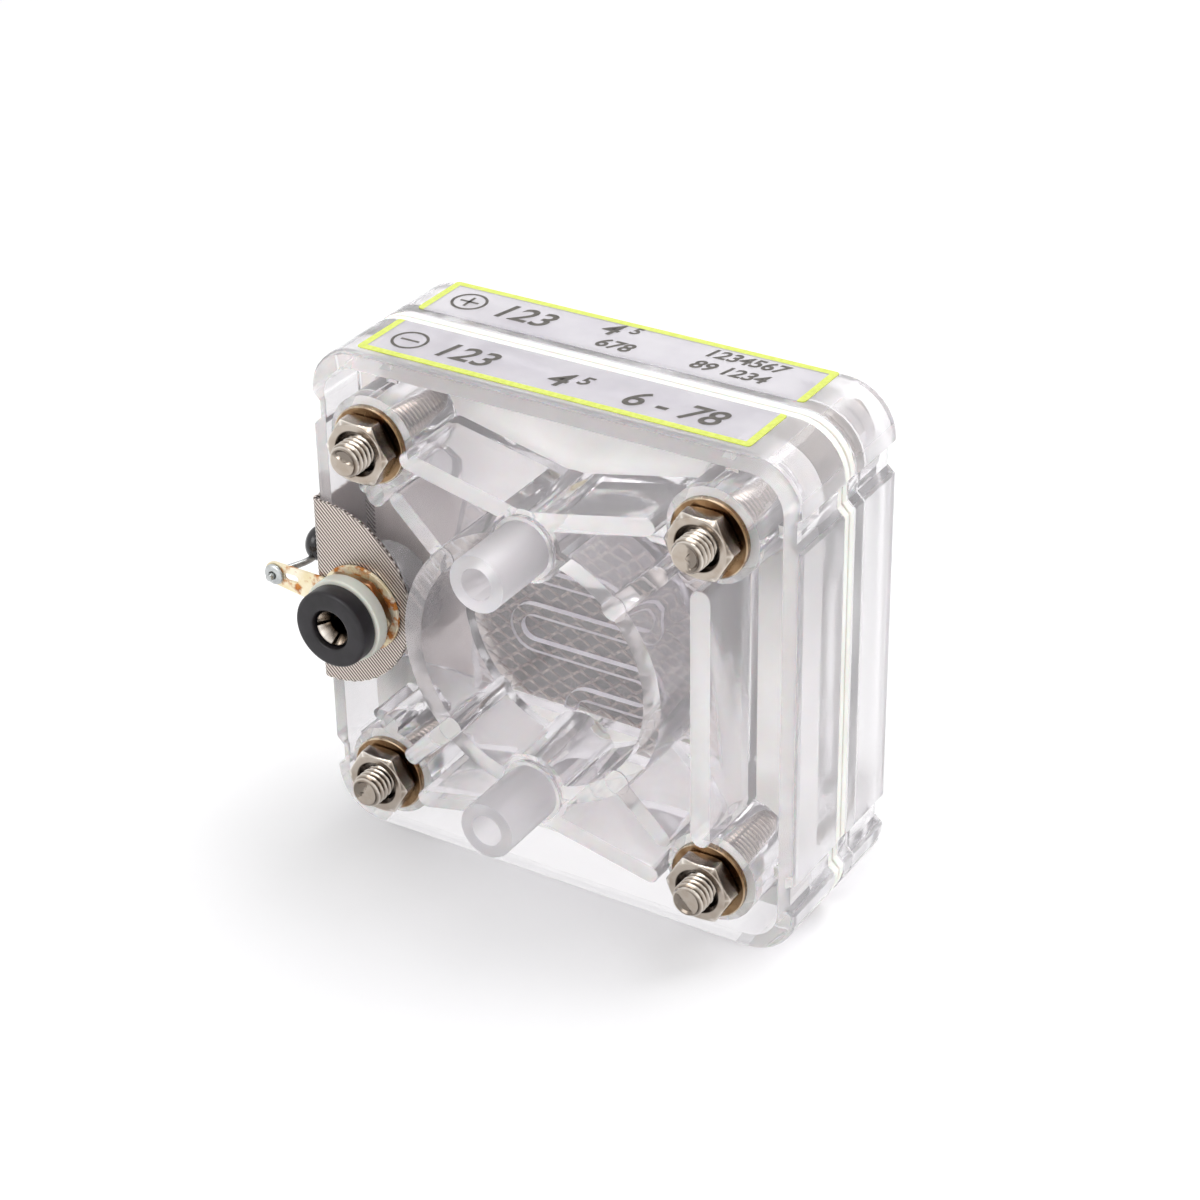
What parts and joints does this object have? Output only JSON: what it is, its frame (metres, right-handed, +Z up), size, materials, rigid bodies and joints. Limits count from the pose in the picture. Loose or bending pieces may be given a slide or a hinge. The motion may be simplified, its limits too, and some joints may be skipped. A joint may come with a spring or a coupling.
{
  "type": "single reversible fuel cell",
  "caption": "Clear-plastic reversible fuel cell: two ribbed halves bolted round a membrane, with hose spigots, fine-mesh current collectors and small round sockets",
  "frame": {"origin": "centre of the bottom of the bounding box; the cell stands on its flat lower edge, and the middle plane of the stack is y = 0", "axes": "+X to the right as the front is seen, away from the sockets; +Y backwards, from the front half to the rear half; +Z up"},
  "size_m": [0.0672, 0.048, 0.0602],
  "materials": {
    "clear_plastic": "clear, polished",
    "gasket_rubber": "matt cream",
    "membrane_film": "thin film",
    "electrode_cloth": "dull, carbon black",
    "coarse_mesh": "expanded metal, dull",
    "fine_mesh": "fine mesh, dull",
    "label_film": "translucent printed film",
    "lug_metal": "tinned brass with rust stains",
    "socket_nut_metal": "plated, rust stained",
    "insulator_plastic": "off-white",
    "black_plastic": "satin black",
    "contact_metal": "bright nickel plate",
    "solder": "tinned, satin",
    "nickel_steel": "nickel plated, tarnished brown in places",
    "washer_steel": "nickel plated, tarnished"
  },
  "bodies": {
    "root": {"front_housing": "clear_plastic", "rear_housing": "clear_plastic", "front_gasket": "gasket_rubber", "rear_gasket": "gasket_rubber", "membrane": "membrane_film", "front_electrode": "electrode_cloth", "rear_electrode": "electrode_cloth", "front_flow_mesh": "coarse_mesh", "rear_flow_mesh": "coarse_mesh", "front_collector": "fine_mesh", "rear_collector": "fine_mesh", "front_label": "label_film", "rear_label": "label_film", "front_solder_lug": "lug_metal", "rear_solder_lug": "lug_metal", "front_socket_nut": "socket_nut_metal", "rear_socket_nut": "socket_nut_metal", "front_insulator": "insulator_plastic", "rear_insulator": "insulator_plastic", "front_socket_head": "black_plastic", "rear_socket_head": "black_plastic", "front_contact": "contact_metal", "rear_contact": "contact_metal", "front_solder_joint": "solder", "rear_solder_joint": "solder", "front_lead": "solder", "rear_lead": "solder", "protection_bead": "black_plastic", "bolt_upper_right": "nickel_steel", "bolt_upper_left": "nickel_steel", "bolt_lower_left": "nickel_steel", "bolt_lower_right": "nickel_steel", "nut_upper_right": "nickel_steel", "nut_upper_left": "nickel_steel", "nut_lower_left": "nickel_steel", "nut_lower_right": "nickel_steel", "washer_upper_right": "washer_steel", "washer_upper_left": "washer_steel", "washer_lower_left": "washer_steel", "washer_lower_right": "washer_steel"}
  },
  "joints": []
}
